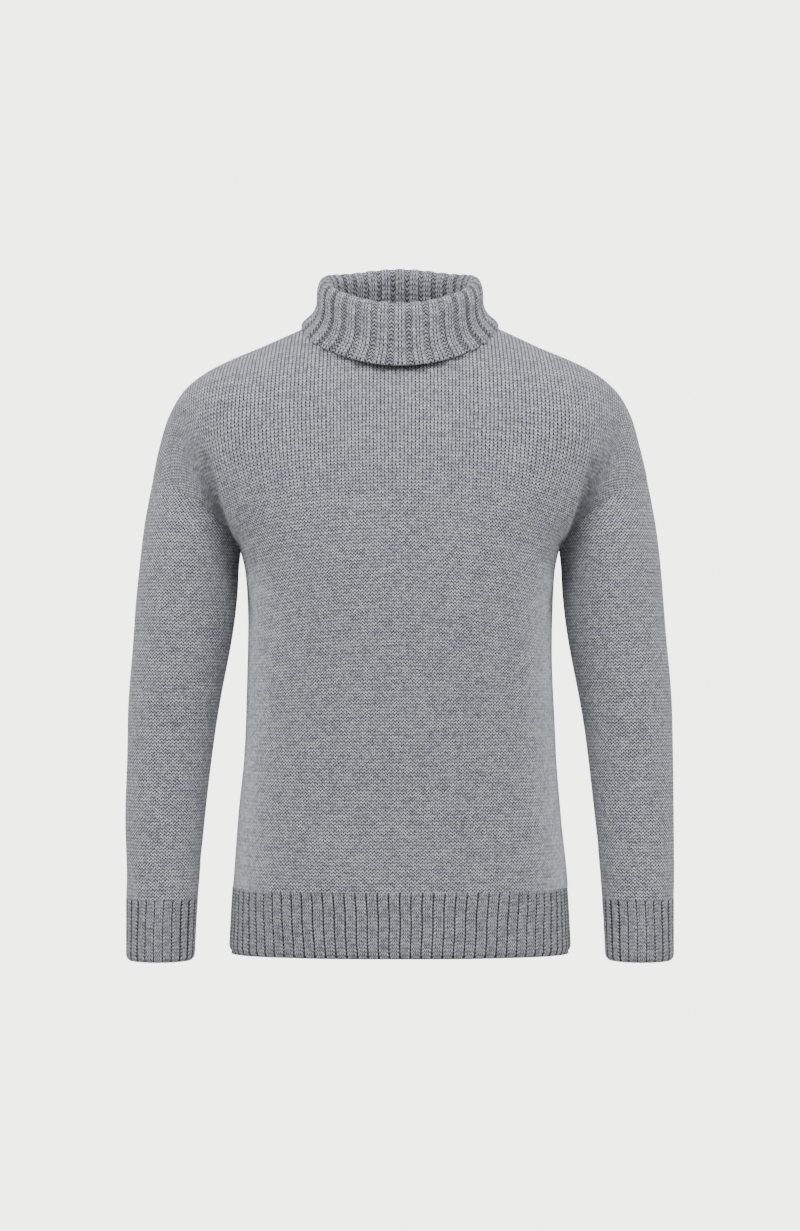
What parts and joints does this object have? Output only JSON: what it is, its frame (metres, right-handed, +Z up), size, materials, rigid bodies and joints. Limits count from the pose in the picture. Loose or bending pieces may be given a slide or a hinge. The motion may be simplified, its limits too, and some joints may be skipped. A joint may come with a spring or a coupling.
{
  "type": "turtleneck sweater",
  "caption": "Loose knitted roll-neck sweater in grey marl wool with dropped shoulders, long sleeves and ribbed collar, cuffs and hem, kept in the hollow shape it has when worn.",
  "frame": {"origin": "the middle of the neck between the two shoulder seams, at the height where the neck meets the shoulders: the place where the wearer holds the garment up", "axes": "+X towards the wearer's left, +Y towards the wearer's back, +Z up"},
  "size_m": [0.6004, 0.247, 0.7673],
  "materials": {
    "jersey": "plain knit, grey marl wool with a soft matt nap",
    "rib": "two-by-two rib knit, grey marl wool with a soft matt nap"
  },
  "bodies": {
    "root": {"body_front": "jersey", "body_back": "jersey", "hem_rib_front": "rib", "hem_rib_back": "rib", "sleeve_left": "jersey", "sleeve_right": "jersey", "cuff_left": "rib", "cuff_right": "rib", "collar": "rib"}
  },
  "joints": []
}
